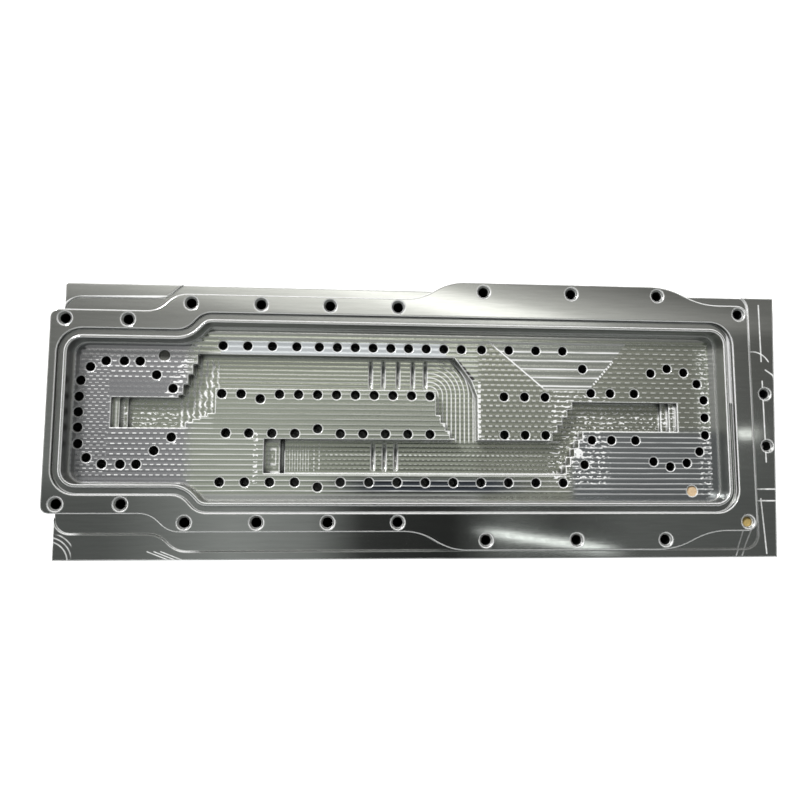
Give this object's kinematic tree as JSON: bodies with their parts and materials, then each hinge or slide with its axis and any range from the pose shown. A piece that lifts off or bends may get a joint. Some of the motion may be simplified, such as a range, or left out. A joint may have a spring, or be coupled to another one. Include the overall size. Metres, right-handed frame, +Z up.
{
  "type": "liquid cooling cold plate",
  "caption": "Milled aluminium liquid cooling cold plate: stepped bolt rim, seal groove, and a coolant pocket with channels, cross cuts, screw holes and plugged ports.",
  "frame": {"origin": "middle of the underside of the plate's bounding box", "axes": "+X along the plate towards its long plain end, +Y across it towards the block's near edge without margin, +Z up out of the open coolant pocket"},
  "size_m": [0.4766, 0.1768, 0.034],
  "materials": {
    "milled_aluminium": "bright milled, with raster cutter marks in the pocket and a smooth rim",
    "plug_grey": "dull grey turned metal",
    "plug_tan": "dull tan metal"
  },
  "bodies": {
    "root": {"plate_body": "milled_aluminium", "left_port_plug": "plug_grey", "right_port_plug": "plug_tan", "corner_dowel": "plug_tan"}
  },
  "joints": []
}
